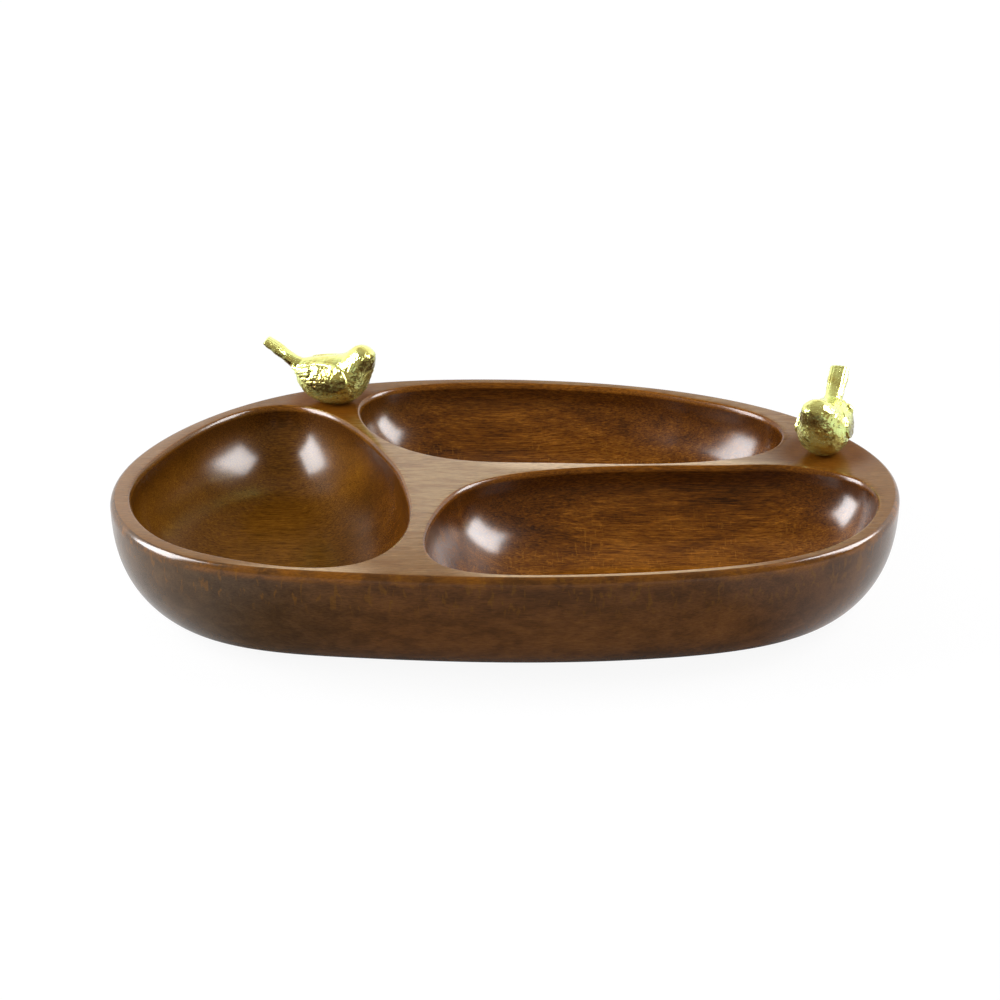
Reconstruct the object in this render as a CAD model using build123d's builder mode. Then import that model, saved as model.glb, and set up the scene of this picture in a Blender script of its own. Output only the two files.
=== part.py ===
from build123d import *
from math import atan2, cos, degrees, hypot, radians, sin
import os

# A wooden snack dish: one carved block with three pockets, and two small cast birds that stand on its rim,
# each held by a threaded stud.
# Frame: +Z up, origin on the table under the middle of the block, +X along its length, -Y towards its front.
# Every size is in millimetres.

# Carved block. Its outline is drawn where the side meets the top, before that edge is rounded.
block_height = 53
block_base_inset = 27
block_side_power = 2.7
block_base_power = 1.42
block_edge_radius = 2.5
block_outline = [
    (174, 20),
    (146, 63),
    (-18, 117),
    (-109, 96),
    (-166, 34),
    (-179, -32),
    (-150, -88),
    (-77, -111),
    (77, -112),
    (155, -80),
]

# Pockets, drawn where their walls meet the top, before that edge is rounded.
pocket_depth = 37
pocket_wall_inset = 41
pocket_wall_power = 2.2
pocket_floor_power = 1.9
pocket_edge_radius = 1.8
pocket_outlines = {
    "round": [
        (-62, 29),
        (-120, 76),
        (-165, 7),
        (-170, -18),
        (-148, -77),
        (-123, -93),
        (-63, -99),
        (-45, -68),
        (-48, -12),
    ],
    "back": [
        (77, 95),
        (-8, 109),
        (-69, 85),
        (-69, 64),
        (-29, 16),
        (17, 10),
        (96, 12),
        (127, 28),
        (128, 60),
    ],
    "front": [
        (118, 5),
        (17, -2),
        (-20, -23),
        (-29, -43),
        (-27, -101),
        (22, -111),
        (83, -105),
        (154, -69),
        (160, -10),
    ],
}

# Sections lofted between the top and the bottom of the block and of each pocket.
wall_steps = 8

# Where each bird stands on the rim, and which way it looks in degrees, where 0 is along +X.
bird_feet = {"left": (-83.0, 85.0), "right": (150.0, 22.0)}
bird_headings = {"left": -12, "right": 253}

# Bird casting, in its own frame: +X to the beak, origin at the middle of its foot.
# Each section of the body runs from a point on the back to one on the belly, and has a half width.
body_sections = [
    ((-19.8, 18.6), (-20.0, 15.5), 2.4),
    ((-18.3, 20.6), (-18.6, 10.0), 5.8),
    ((-14.3, 21.8), (-14.8, 4.6), 9.0),
    ((-8.0, 22.8), (-7.8, 0.8), 11.5),
    ((-0.5, 24.1), (0.8, -0.6), 12.4),
    ((4.6, 25.6), (9.0, 1.6), 12.0),
    ((7.6, 28.0), (15.2, 8.0), 10.2),
    ((10.4, 30.0), (18.0, 14.8), 8.6),
    ((13.4, 31.0), (19.8, 20.0), 7.1),
    ((17.0, 30.1), (20.7, 23.6), 4.9),
    ((19.0, 28.6), (20.7, 26.2), 2.1),
]
shoulder_section = 5
neck_x = 5.0
head_turn = -18

# Each section of the tail has a middle, a half thickness and a half width.
tail_sections = [
    ((-13.0, 16.2), 3.7, 5.4),
    ((-19.0, 18.6), 2.9, 4.3),
    ((-24.0, 22.0), 2.2, 4.3),
    ((-29.0, 25.6), 2.1, 5.0),
    ((-34.6, 29.5), 1.6, 4.6),
]
tail_tilts = [25, 33, 37, 37, 37]

wing_rise = 0.9
wing_inner_face = 3
wing_tip = (-19.5, 16.4)
wing_round = [
    (-11, 11.2),
    (-5.5, 9.2),
    (1.3, 8.8),
    (7.2, 11.4),
    (9.0, 15.5),
    (5.2, 21.2),
    (-3, 22.2),
    (-11, 21.4),
]

beak_length = 4.0
beak_root_radius = 1.8
beak_tip_radius = 0.4
beak_root = (18.2, 26.9)
beak_lift = 8
eye_radius = 1.3
eye_place = (17.2, 4.9, 27.0)

# Threaded stud that holds a bird: a wood screw below the rim, a machine screw above it.
stud_radius = 2.0
stud_in_wood = 14
stud_in_bird = 8
stud_point_length = 3
stud_point_radius = 0.4
stud_chamfer = 0.5
stud_hole_clearance = 0.05
stud_hole_room = 1


def drawn_in(outline, inset):
    """The outline's points moved towards its middle, so that each side of its box comes in by inset."""
    box = Spline(*outline, periodic=True, mode=Mode.PRIVATE).bounding_box()
    middle = box.center()
    keep_x = 1 - 2 * inset / box.size.X
    keep_y = 1 - 2 * inset / box.size.Y
    return [(middle.X + (x - middle.X) * keep_x, middle.Y + (y - middle.Y) * keep_y) for x, y in outline]


def loft_downwards(outline, depth, inset, wall_power, floor_power, mode):
    """Lofts from the outline at the block's top to a narrower one below, along a quarter of a superellipse."""
    sections = []
    for step in range(wall_steps + 1):
        turn = radians(90 * step / wall_steps)
        drop = depth * sin(turn) ** (2 / wall_power)
        drawn = inset * (1 - cos(turn) ** (2 / floor_power)) if step < wall_steps else inset
        with BuildSketch(Plane.XY.offset(block_height - drop)) as section:
            with BuildLine():
                Spline(*drawn_in(outline, drawn), periodic=True)
            make_face()
        sections.append(section.sketch)
    loft(sections=sections, mode=mode)


def head_share(section):
    """How much of the head's turn a body section takes: none up to the shoulder, all at the face."""
    return max(0, section - shoulder_section) / (len(body_sections) - 1 - shoulder_section)


def swung(x, y, z, share=1):
    """A point of the bird, swung sideways about its neck by a share of the head's turn."""
    return Vector(x - neck_x, y, z).rotate(Axis.Z, head_turn * share) + Vector(neck_x, 0, 0)


def loft_body(extra_width=0.0):
    """Lofts the body and head through ellipses that fan out from the rump, over the belly, to the face."""
    sections = []
    for number, ((back_x, back_z), (belly_x, belly_z), half_width) in enumerate(body_sections):
        share = head_share(number)
        half_height = hypot(back_x - belly_x, back_z - belly_z) / 2
        lean = degrees(atan2(belly_x - back_x, back_z - belly_z))
        section_plane = Plane(
            origin=swung((back_x + belly_x) / 2, 0, (back_z + belly_z) / 2, share),
            x_dir=Vector(0, 1, 0).rotate(Axis.Z, head_turn * share),
            z_dir=Vector(1, 0, 0).rotate(Axis.Y, -lean).rotate(Axis.Z, head_turn * share),
        )
        with BuildSketch(section_plane) as section:
            Ellipse(half_width + extra_width, half_height)
        sections.append(section.sketch)
    loft(sections=sections)


def build_wing(side):
    """One folded wing: a slightly wider body, cut to the wing's outline on one side, 1 for left, -1 for right."""
    with BuildPart() as wing:
        loft_body(extra_width=wing_rise)
        with BuildSketch(Plane.XZ.offset(-side * wing_inner_face)):
            with BuildLine():
                Line(wing_tip, wing_round[0])
                Spline(*wing_round)
                Line(wing_round[-1], wing_tip)
            make_face()
        extrude(amount=-side * body_sections[4][2] * 2, mode=Mode.INTERSECT)
    return wing.part


# The carved block
with BuildPart() as tray:
    loft_downwards(
        block_outline, block_height, block_base_inset, block_side_power, block_base_power, Mode.ADD
    )
    fillet(tray.faces().sort_by(Axis.Z)[-1].edges(), block_edge_radius)
    for outline in pocket_outlines.values():
        loft_downwards(
            outline, pocket_depth, pocket_wall_inset, pocket_wall_power, pocket_floor_power, Mode.SUBTRACT
        )
    top_face = tray.faces().filter_by(Plane.XY).sort_by(Axis.Z)[-1]
    fillet(top_face.edges().sort_by(SortBy.LENGTH)[:-1], pocket_edge_radius)
    for foot in bird_feet.values():
        with Locations((*foot, block_height)):
            Hole(stud_radius + stud_hole_clearance, depth=stud_in_wood + stud_hole_room)
tray.part.label = "tray"

# Bird casting: body and head, beak, raised wings, tail, eyes, and the hole in its foot for the stud
with BuildPart() as bird:
    loft_body()
    forward = Vector(1, 0, 0).rotate(Axis.Y, -beak_lift).rotate(Axis.Z, head_turn)
    with Locations(Plane(origin=swung(beak_root[0], 0, beak_root[1]), z_dir=forward)):
        Cone(beak_root_radius, beak_tip_radius, beak_length, align=(Align.CENTER, Align.CENTER, Align.MIN))
    for side in (1, -1):
        add(build_wing(side))

    for ((x, z), half_thickness, half_width), tilt in zip(tail_sections, tail_tilts):
        backward = Vector(-1, 0, 0).rotate(Axis.Y, tilt)
        with BuildSketch(Plane(origin=(x, 0, z), x_dir=(0, 1, 0), z_dir=backward)):
            Ellipse(half_width, half_thickness)
    loft()

    eye_x, eye_y, eye_z = eye_place
    with Locations(swung(eye_x, eye_y, eye_z), swung(eye_x, -eye_y, eye_z)):
        Sphere(eye_radius, mode=Mode.SUBTRACT)

    split(bisect_by=Plane.XY, keep=Keep.TOP)
    with Locations(Plane.XY):
        Hole(stud_radius + stud_hole_clearance, depth=stud_in_bird + stud_hole_room)

# Stud, with its origin at the point that goes into the wood
with BuildPart() as stud:
    with Locations((0, 0, stud_point_length)):
        Cylinder(
            stud_radius,
            stud_in_wood + stud_in_bird - stud_point_length,
            align=(Align.CENTER, Align.CENTER, Align.MIN),
        )
    chamfer(stud.edges().sort_by(Axis.Z)[-1], stud_chamfer)
    Cone(stud_point_radius, stud_radius, stud_point_length, align=(Align.CENTER, Align.CENTER, Align.MIN))

os.makedirs("parts", exist_ok=True)
export_step(tray.part, "parts/tray.step")
for name, foot in bird_feet.items():
    stand = Location((*foot, block_height), (0, 0, bird_headings[name]))
    bird_part = bird.part.moved(stand)
    bird_part.label = f"{name}_bird"
    export_step(bird_part, f"parts/{name}_bird.step")
    stud_part = stud.part.moved(stand * Location((0, 0, -stud_in_wood)))
    stud_part.label = f"{name}_bird_stud"
    export_step(stud_part, f"parts/{name}_bird_stud.step")
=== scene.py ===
import math
from types import SimpleNamespace

import bpy
import numpy as np
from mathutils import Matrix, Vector, geometry, noise


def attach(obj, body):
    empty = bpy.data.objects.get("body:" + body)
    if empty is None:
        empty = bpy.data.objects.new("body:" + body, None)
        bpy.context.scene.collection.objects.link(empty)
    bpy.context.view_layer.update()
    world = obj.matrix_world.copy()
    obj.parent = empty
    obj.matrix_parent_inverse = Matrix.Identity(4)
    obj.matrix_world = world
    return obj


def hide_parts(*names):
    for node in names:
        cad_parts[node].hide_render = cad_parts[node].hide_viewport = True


# A wooden snack dish with three carved pockets and two small gold birds on its rim, dressed around the
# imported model. Shapes are worked out in millimetres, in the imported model's frame, and MM makes them metres.
MM = 0.001

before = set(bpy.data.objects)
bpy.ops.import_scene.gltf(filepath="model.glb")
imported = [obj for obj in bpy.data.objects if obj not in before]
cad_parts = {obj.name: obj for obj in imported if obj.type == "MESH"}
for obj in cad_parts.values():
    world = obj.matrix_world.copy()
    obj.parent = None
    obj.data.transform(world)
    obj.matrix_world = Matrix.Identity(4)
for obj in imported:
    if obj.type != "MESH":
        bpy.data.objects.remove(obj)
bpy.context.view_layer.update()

# Carved block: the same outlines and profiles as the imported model, with more points. A profile is a quarter
# of a superellipse: its depth, how far it draws in, and its powers at the top and at the bottom.
BLOCK_HEIGHT = 53
BLOCK_PROFILE = (BLOCK_HEIGHT, 27, 2.7, 1.42)
BLOCK_OUTLINE = [
    (174, 20), (146, 63), (-18, 117), (-109, 96), (-166, 34),
    (-179, -32), (-150, -88), (-77, -111), (77, -112), (155, -80),
]
POCKET_DEPTH = 37
POCKET_PROFILE = (POCKET_DEPTH, 41, 2.2, 1.9)
POCKET_OUTLINES = {
    "round": [
        (-62, 29), (-120, 76), (-165, 7), (-170, -18), (-148, -77),
        (-123, -93), (-63, -99), (-45, -68), (-48, -12),
    ],
    "back": [
        (77, 95), (-8, 109), (-69, 85), (-69, 64), (-29, 16),
        (17, 10), (96, 12), (127, 28), (128, 60),
    ],
    "front": [
        (118, 5), (17, -2), (-20, -23), (-29, -43), (-27, -101),
        (22, -111), (83, -105), (154, -69), (160, -10),
    ],
}

# Sanded edges: how far each rounding reaches across the rim, and how far down the wall
BLOCK_EDGE = (2.5, 4.0)
POCKET_EDGE = (1.8, 3.4)

# Mesh density of the block
BLOCK_SEGMENTS = 480
POCKET_SEGMENTS = 320
EDGE_RINGS = 9
BLOCK_RINGS = 46
POCKET_RINGS = 44
FLOOR_RINGS = 14
RIM_GRID = 3.0
RIM_GRID_CLEARANCE = 1.3

# How finely a curve is followed before its points are spaced evenly: steps for each point, and in all
SPLINE_STEPS = 20
PROFILE_STEPS = 4000

# Evening out a closed outline where it starts and ends: between these shares of its length from there, with
# means over this part of its points
SEAM_ENDS = (0.02, 0.08)
SEAM_PARTS = 36

# Unevenness left by carving and sanding by hand, and how far below the edge it is full
CARVING_HEIGHT = 0.16
CARVING_LENGTH = 34
CARVING_FULL_AT = 10

# Where each bird stands on the rim, and which way it looks in degrees, where 0 is along +X
BIRD_STANDS = {"left": (-83.0, 85.0, -12), "right": (150.0, 22.0, 253)}

# Camera: where it aims, from how far and from how many degrees up, and its lens
CAMERA_AIM = (-2.4, -35.2, 53.4)
CAMERA_DISTANCE = 1200
CAMERA_ELEVATION = 24
CAMERA_LENS = 95.72


def smoothstep(value, low, high):
    """0 below low, 1 above high, and smooth between."""
    share = np.clip((value - low) / (high - low), 0, 1)
    return share * share * (3 - 2 * share)


def rolling_mean(places, reach):
    """The mean of each point of a closed curve and its neighbours, up to reach points away."""
    return sum(np.roll(places, k, 0) for k in range(-reach, reach + 1)) / (2 * reach + 1)


def smooth_seam(places):
    """Evens out a closed curve where it starts and ends, and gives back what the means drew it in."""
    count = len(places)
    evened = rolling_mean(places, count // SEAM_PARTS)
    evened += evened - rolling_mean(evened, count // SEAM_PARTS)
    from_seam = np.minimum(np.arange(count), count - np.arange(count)) / count
    share = 1 - smoothstep(from_seam, *SEAM_ENDS)
    return places + (evened - places) * share[:, None]


def closed_spline(points, count):
    """Evenly spaced places along the closed cubic spline through points, and the outward directions there.
    The curve starts and ends in the direction of the cubic through its first four points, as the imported
    model's does, and is evened out there."""
    knots = np.array(points + points[:1], float)
    steps = np.linalg.norm(np.diff(knots, axis=0), axis=1)
    run = np.r_[0, np.cumsum(steps)]
    last = len(knots) - 1

    tangent = np.linalg.solve(np.vander(run[:4]), knots[:4])[2]

    matrix = np.zeros((last + 1, last + 1))
    right = np.zeros((last + 1, 2))
    slopes = np.diff(knots, axis=0) / steps[:, None]
    matrix[0, :2] = 2 * steps[0], steps[0]
    right[0] = 6 * (slopes[0] - tangent)
    matrix[last, last - 1 :] = steps[-1], 2 * steps[-1]
    right[last] = 6 * (tangent - slopes[-1])
    for i in range(1, last):
        matrix[i, i - 1 : i + 2] = steps[i - 1], 2 * (steps[i - 1] + steps[i]), steps[i]
        right[i] = 6 * (slopes[i] - slopes[i - 1])
    bend = np.linalg.solve(matrix, right)

    def at(where):
        k = np.clip(np.searchsorted(run, where, side="right") - 1, 0, last - 1)
        step = steps[k][:, None]
        b = (where - run[k])[:, None] / step
        a = 1 - b
        place = a * knots[k] + b * knots[k + 1]
        place += ((a**3 - a) * bend[k] + (b**3 - b) * bend[k + 1]) * step**2 / 6
        return place

    fine = np.linspace(0, run[-1], SPLINE_STEPS * count)
    length = np.r_[0, np.cumsum(np.linalg.norm(np.diff(at(fine), axis=0), axis=1))]
    places = smooth_seam(at(np.interp(np.arange(count) * length[-1] / count, length, fine)))
    ahead = np.roll(places, -1, 0) - np.roll(places, 1, 0)
    ahead /= np.linalg.norm(ahead, axis=1)[:, None]
    return places, np.stack([ahead[:, 1], -ahead[:, 0]], 1)


def wall_profile(depth, inset, wall_power, floor_power, start, count):
    """Evenly spaced (drop, inset) pairs down a profile, from a drop of start to its end."""
    turn = np.linspace(0, np.pi / 2, PROFILE_STEPS)
    drop = depth * np.sin(turn) ** (2 / wall_power)
    drawn = inset * (1 - np.cos(turn).clip(0, 1) ** (2 / floor_power))
    drawn[-1] = inset
    run = np.r_[0, np.cumsum(np.hypot(np.diff(drop), np.diff(drawn)))]
    where = np.linspace(np.interp(start, drop, run), run[-1], count)
    return list(zip(np.interp(where, run, drop), np.interp(where, run, drawn)))


class Shape:
    """Points and faces of a mesh that is made ring by ring."""

    def __init__(self):
        self.points = []
        self.faces = []

    def add(self, places):
        """Adds points and gives their numbers."""
        first = len(self.points)
        self.points += [tuple(place) for place in places]
        return np.arange(first, len(self.points))

    def ring(self, flat, height):
        """Adds flat places at one height and gives their numbers."""
        return self.add([(x, y, height) for x, y in flat])

    def join(self, upper, lower, inside_out=False):
        """Adds the faces between two rings of as many points."""
        for a, b, c, d in zip(upper, np.roll(upper, -1), np.roll(lower, -1), lower):
            self.faces.append((a, b, c, d) if inside_out else (d, c, b, a))

    def close(self, ring, place, inside_out=False):
        """Closes a ring with one point."""
        (tip,) = self.add([place])
        for a, b in zip(ring, np.roll(ring, -1)):
            self.faces.append((a, b, tip) if inside_out else (b, a, tip))


def wall_with_edge(shape, outline, segments, edge, side, profile, inside_out):
    """Adds a sanded edge, a quarter of an ellipse, and the wall below it, and gives its first and last rings.
    side is 1 where the rim lies outside the outline, -1 where it lies inside."""
    places, outward = closed_spline(outline, segments)
    low, high = places.min(0), places.max(0)
    middle, size = (low + high) / 2, high - low
    rings = []
    for turn in np.linspace(0, np.pi / 2, EDGE_RINGS):
        across, drop = edge[0] * (1 - math.sin(turn)), edge[1] * (1 - math.cos(turn))
        rings.append(shape.ring(places + side * across * outward, BLOCK_HEIGHT - drop))
    for drop, drawn in profile[1:]:
        kept = 1 - 2 * drawn / size
        rings.append(shape.ring(middle + (places - middle) * kept, BLOCK_HEIGHT - drop))
    for upper, lower in zip(rings, rings[1:]):
        shape.join(upper, lower, inside_out)
    return rings[0], rings[-1]


def floor_disc(shape, ring, height, rings, inside_out):
    """Fills a ring's flat floor with smaller rings and a middle point."""
    flat = np.array([shape.points[i][:2] for i in ring])
    middle = flat.mean(0)
    previous = ring
    for k in range(1, rings):
        smaller = shape.ring(middle + (flat - middle) * (1 - k / rings), height)
        shape.join(previous, smaller, inside_out)
        previous = smaller
    shape.close(previous, (*middle, height), inside_out)


def is_inside(places, outline):
    """Whether each place lies inside a closed outline: a line to its right crosses an odd number of sides."""
    x, y = places[:, 0, None], places[:, 1, None]
    x1, y1 = outline[:, 0], outline[:, 1]
    x2, y2 = np.roll(x1, -1), np.roll(y1, -1)
    spans = (y1 > y) != (y2 > y)
    with np.errstate(divide="ignore", invalid="ignore"):
        crossing = x1 + (y - y1) * (x2 - x1) / (y2 - y1)
    return (spans & (x < crossing)).sum(1) % 2 == 1


def fill_rim(shape, rings):
    """Fills the flat rim between the block's outer ring, which is the first, and the rings inside it."""
    loops = [np.array([shape.points[i][:2] for i in ring]) for ring in rings]
    low, high = loops[0].min(0), loops[0].max(0)
    columns = np.arange(low[0], high[0], RIM_GRID)
    rows = np.arange(low[1], high[1], RIM_GRID)
    grid = np.array([(x + RIM_GRID / 2 * (j % 2), y) for j, y in enumerate(rows) for x in columns])
    keep = is_inside(grid, loops[0])
    for loop in loops[1:]:
        keep &= ~is_inside(grid, loop)
    grid = grid[keep]
    border = np.vstack(loops)
    gap = np.sqrt(((grid[:, None] - border[None]) ** 2).sum(2)).min(1)
    grid_numbers = shape.ring(grid[gap > RIM_GRID_CLEARANCE], BLOCK_HEIGHT)

    numbers = [*np.concatenate(rings), *grid_numbers]
    sides = []
    first = 0
    for loop in loops:
        count = len(loop)
        sides += [(first + k, first + (k + 1) % count) for k in range(count)]
        first += count
    vectors = [Vector(shape.points[i][:2]) for i in numbers]
    _, _, triangles, origins, _, _ = geometry.delaunay_2d_cdt(vectors, sides, [], 1, 1e-6)
    triangles = [tuple(numbers[origins[v][0]] for v in triangle) for triangle in triangles]
    middles = np.array([np.mean([shape.points[i][:2] for i in triangle], axis=0) for triangle in triangles])
    wanted = np.ones(len(triangles), bool)
    for loop in loops[1:]:
        wanted &= ~is_inside(middles, loop)
    shape.faces += [triangle for triangle, is_wanted in zip(triangles, wanted) if is_wanted]


def add_piece(name, points, faces, material, replaced):
    """Makes a smooth mesh object from points in millimetres, and hangs it on the frame."""
    mesh = bpy.data.meshes.new(name)
    mesh.from_pydata((np.array(points) * MM).tolist(), [], [[int(i) for i in face] for face in faces])
    mesh.polygons.foreach_set("use_smooth", [True] * len(mesh.polygons))
    mesh.materials.append(material)
    mesh.validate()
    piece = bpy.data.objects.new(name, mesh)
    bpy.context.scene.collection.objects.link(piece)
    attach(piece, "root")
    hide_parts(replaced)
    return piece


def add_point_values(mesh, name, values):
    """Stores one number for each point, for a material to read."""
    mesh.attributes.new(name, "FLOAT", "POINT").data.foreach_set("value", np.array(values, np.float32))


# Holes for the birds' studs
STUD_HOLE_RADIUS = 2.05
STUD_HOLE_DEPTH = 15
STUD_HOLE_SEGMENTS = 32


def build_tray(material):
    """The carved block: its side, flat rim, three pockets, flat base and the holes for the birds' studs."""
    shape = Shape()
    side = wall_profile(*BLOCK_PROFILE, BLOCK_EDGE[1], BLOCK_RINGS)
    top, lowest = wall_with_edge(shape, BLOCK_OUTLINE, BLOCK_SEGMENTS, BLOCK_EDGE, -1, side, False)
    floor_disc(shape, lowest, 0.0, FLOOR_RINGS, False)
    carved_from = len(shape.points)
    pocket = wall_profile(*POCKET_PROFILE, POCKET_EDGE[1], POCKET_RINGS)
    rim_rings = [top]
    for outline in POCKET_OUTLINES.values():
        top, bottom = wall_with_edge(shape, outline, POCKET_SEGMENTS, POCKET_EDGE, 1, pocket, True)
        floor_disc(shape, bottom, BLOCK_HEIGHT - POCKET_DEPTH, FLOOR_RINGS, True)
        rim_rings.append(top)
    carved_to = len(shape.points)
    for *foot, _ in BIRD_STANDS.values():
        turn = np.arange(STUD_HOLE_SEGMENTS) * 2 * np.pi / STUD_HOLE_SEGMENTS
        circle = np.array(foot) + STUD_HOLE_RADIUS * np.stack([np.cos(turn), np.sin(turn)], 1)
        top = shape.ring(circle, BLOCK_HEIGHT)
        bottom = shape.ring(circle, BLOCK_HEIGHT - STUD_HOLE_DEPTH)
        shape.join(top, bottom, True)
        shape.close(bottom, (*foot, BLOCK_HEIGHT - STUD_HOLE_DEPTH), True)
        rim_rings.append(top)
    fill_rim(shape, rim_rings)

    tray = add_piece("carved_tray", shape.points, shape.faces, material, "tray")
    add_point_values(tray.data, "pocket", [carved_from <= i < carved_to for i in range(len(shape.points))])
    roughen_pockets(tray.data, carved_from, carved_to)


def roughen_pockets(mesh, first, last):
    """Gives the carved pockets the slight waves of hand sanding, which fade out towards their edges."""
    places = point_array(mesh, "co")
    normals = point_array(mesh, "normal")
    for i in range(first, last):
        down = BLOCK_HEIGHT - places[i, 2] / MM - POCKET_EDGE[1]
        wave = noise.noise(Vector(places[i]) / MM / CARVING_LENGTH)
        share = min(1, max(0, down / CARVING_FULL_AT))
        places[i] += normals[i] * wave * share * CARVING_HEIGHT * MM
    mesh.vertices.foreach_set("co", places.ravel())
    mesh.update()


def point_array(mesh, name):
    """The places or normals of a mesh's points, as an array."""
    values = np.empty(len(mesh.vertices) * 3, np.float32)
    mesh.vertices.foreach_get(name, values)
    return values.reshape(-1, 3).astype(float)


# Bird casting, in its own frame: +X to the beak, origin at the middle of its foot. Each section of the body
# runs from a point on the back to one on the belly, and has a half width.
BODY_SECTIONS = [
    (-19.8, 18.6, -20.0, 15.5, 2.4),
    (-18.3, 20.6, -18.6, 10.0, 5.8),
    (-14.3, 21.8, -14.8, 4.6, 9.0),
    (-8.0, 22.8, -7.8, 0.8, 11.5),
    (-0.5, 24.1, 0.8, -0.6, 12.4),
    (4.6, 25.6, 9.0, 1.6, 12.0),
    (7.6, 28.0, 15.2, 8.0, 10.2),
    (10.4, 30.0, 18.0, 14.8, 8.6),
    (13.4, 31.0, 19.8, 20.0, 7.1),
    (17.0, 30.1, 20.7, 23.6, 4.9),
    (19.0, 28.6, 20.7, 26.2, 2.1),
]
SHOULDER_SECTION = 5
NECK_X = 5.0
HEAD_TURN = -18
BODY_ROUNDINGS = (1.2, 0.5)

# Each section of the tail has a middle, a half thickness, a half width and a tilt in degrees.
TAIL_SECTIONS = [
    (-13.0, 16.2, 3.7, 5.4, 25),
    (-19.0, 18.6, 2.9, 4.3, 33),
    (-24.0, 22.0, 2.2, 4.3, 37),
    (-29.0, 25.6, 2.1, 5.0, 37),
    (-34.6, 29.5, 1.6, 4.6, 37),
]
TAIL_ROUNDINGS = (0.5, 0.5)

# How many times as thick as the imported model's tail this one is
TAIL_FULLNESS = 1.12

BEAK_ROOT = (18.2, 26.9)
BEAK_LENGTH = 4.0
BEAK_RADII = (1.8, 0.4)
BEAK_LIFT = 8
BEAK_RINGS = 6
BEAK_ROUNDINGS = (0.3, 0.2)
EYE_PLACE = (17.2, 4.9, 27.0)
EYE_DEPTH = 0.45
EYE_EDGE = (0.91, 1.495)
EYEBALL_RISE = 0.35
EYEBALL_EDGE = (0.4, 0.88)
BIRD_HEIGHT = 31.0

# Painted shade on the gold, standing in for its dark reflections: how strong it is, and where: inside the
# wing's outline, up to a height on it, below the tail's middle, behind the rump, and round the cheek
LOWER_WING_SHADE = 0.9
SHADE_INSIDE_WING = (0.2, 1.2)
SHADE_WING_TOP = (15.0, 18.5)
TAIL_SHADE = 1.0
SHADE_BELOW_TAIL = (-0.5, 0.4)
SHADE_BEHIND_RUMP = (20.5, 22)
CHEEK_SHADE = 0.85
CHEEK_PLACE = (19.5, 3.0, 23.0)
CHEEK_REACH = (2.6, 5.2)

# Folded wing, seen from the side: its tip, then its rounded front
WING_TIP = (-19.5, 16.4)
WING_ROUND = [
    (-11, 11.2), (-5.5, 9.2), (1.3, 8.8), (7.2, 11.4), (9.0, 15.5), (5.2, 21.2), (-3, 22.2), (-11, 21.4),
]
WING_RISE = 0.9
WING_EDGE = 0.7
WING_INNER_Y = 2.5
WING_OUTLINE_POINTS = 40

# Grooves between the feathers: depth, distance, half width as a share of it, how they bend along the wing,
# how far from its outline they start, and where they start along the bird
FEATHER_DEPTH = 0.22
FEATHER_GAP = 2.1
FEATHER_GROOVE = 0.55
FEATHER_BEND = 0.018
FEATHER_BEND_X = -4
FEATHERS_INSIDE_WING = (0.5, 1.2)
FEATHERS_FROM_X = 1.0
FEATHERS_FULL_AFTER = 5
TAIL_FEATHER_DEPTH = 0.16
TAIL_FEATHER_GAP = 1.9
TAIL_FEATHER_GROOVE = 0.6
TAIL_FEATHERS_BEHIND = (21, 23)

# The wing's free tip past the rump: middle of each section, half height, half thickness; then its roundings
WING_TIP_SECTIONS = [
    (-11.0, 9.0, 16.4, 3.4, 1.3),
    (-15.0, 7.4, 16.8, 2.4, 1.1),
    (-18.4, 5.8, 17.5, 1.5, 0.9),
    (-20.8, 4.9, 18.2, 0.6, 0.45),
]
WING_TIP_ROUNDINGS = (0.5, 0.3)

# The casting's skin: (length, height) of its crumples, and where and how much smoother it is on the back
CRUMPLES = [(4.2, 0.22), (1.9, 0.24), (0.95, 0.15)]
BACK_SMOOTHNESS = 0.6
BACK_FACING_UP = (0.45, 0.85)

# Mesh density of the bird
BIRD_VOXEL = 0.34
BIRD_SMOOTHING = 4
LOFT_SEGMENTS = 56
BODY_RINGS = 70
TAIL_RINGS = 35
WING_TIP_RINGS = 23
ROUNDED_END_RINGS = 5


def smooth_rows(rows, count):
    """Rows of numbers taken as points of a smooth curve, read at evenly spaced places along it."""
    rows = np.array(rows, float)
    ends = np.vstack([2 * rows[0] - rows[1], rows, 2 * rows[-1] - rows[-2]])
    where = np.linspace(0, len(rows) - 1, count)
    k = np.minimum(where.astype(int), len(rows) - 2)
    t = (where - k)[:, None]
    before, here, after, beyond = ends[k], ends[k + 1], ends[k + 2], ends[k + 3]
    bent = 2 * here + (after - before) * t
    bent += (2 * before - 5 * here + 4 * after - beyond) * t**2
    bent += (3 * here - before - 3 * after + beyond) * t**3
    return bent / 2, where


def turned(points, degrees):
    """Points turned sideways about the origin."""
    turn = math.radians(degrees)
    cos, sin = math.cos(turn), math.sin(turn)
    return points @ np.array([(cos, sin, 0), (-sin, cos, 0), (0, 0, 1)])


def swing_head(points, share=1.0):
    """Turns points of the bird sideways about its neck, by a share of the head's turn."""
    neck = np.array((NECK_X, 0, 0))
    return turned(points - neck, HEAD_TURN * share) + neck


def ellipse_ring(middle, across, up):
    """Points of an ellipse round middle, with its two half axes as vectors."""
    turn = np.arange(LOFT_SEGMENTS)[:, None] * 2 * np.pi / LOFT_SEGMENTS
    return np.array(middle) + np.cos(turn) * np.array(up) + np.sin(turn) * np.array(across)


def rounded_end(ring, outward, length):
    """Rings that carry on from a ring and close in to a rounded end, and the point at that end."""
    middle = ring.mean(0)
    turns = np.linspace(0, np.pi / 2, ROUNDED_END_RINGS + 1)[1:-1]
    rings = [middle + (ring - middle) * math.cos(t) + outward * length * math.sin(t) for t in turns]
    return rings, middle + outward * length


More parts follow.
